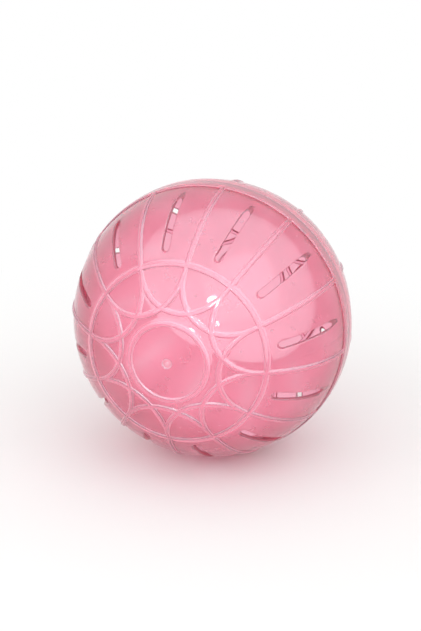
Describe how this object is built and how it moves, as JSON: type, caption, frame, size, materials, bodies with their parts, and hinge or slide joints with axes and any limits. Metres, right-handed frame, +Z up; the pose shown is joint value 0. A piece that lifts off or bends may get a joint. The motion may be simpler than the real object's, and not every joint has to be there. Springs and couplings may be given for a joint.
{
  "type": "hamster ball",
  "caption": "Hollow translucent exercise ball for a small pet: moulded half shells with ring, arch and rib beads and vent slots, closed by a bayonet rim at the equator.",
  "frame": {"origin": "centre of the ball, on the pole axis, in the plane where the halves meet", "axes": "+Y along the pole axis, from the front half's pole to the rear half's; +Z up; +X to the right seen from the front"},
  "size_m": [0.145, 0.1434, 0.145],
  "materials": {
    "pink_polystyrene": "clear tinted polystyrene, polished mould finish"
  },
  "bodies": {
    "rear_half": {"rear_half": "pink_polystyrene"},
    "front_half": {"front_half": "pink_polystyrene"}
  },
  "joints": [
    {"name": "front_half_pull", "type": "slide", "parent": "rear_half", "child": "front_half", "axis": [0, -1, 0], "range_m": [0, 0.09]}
  ]
}
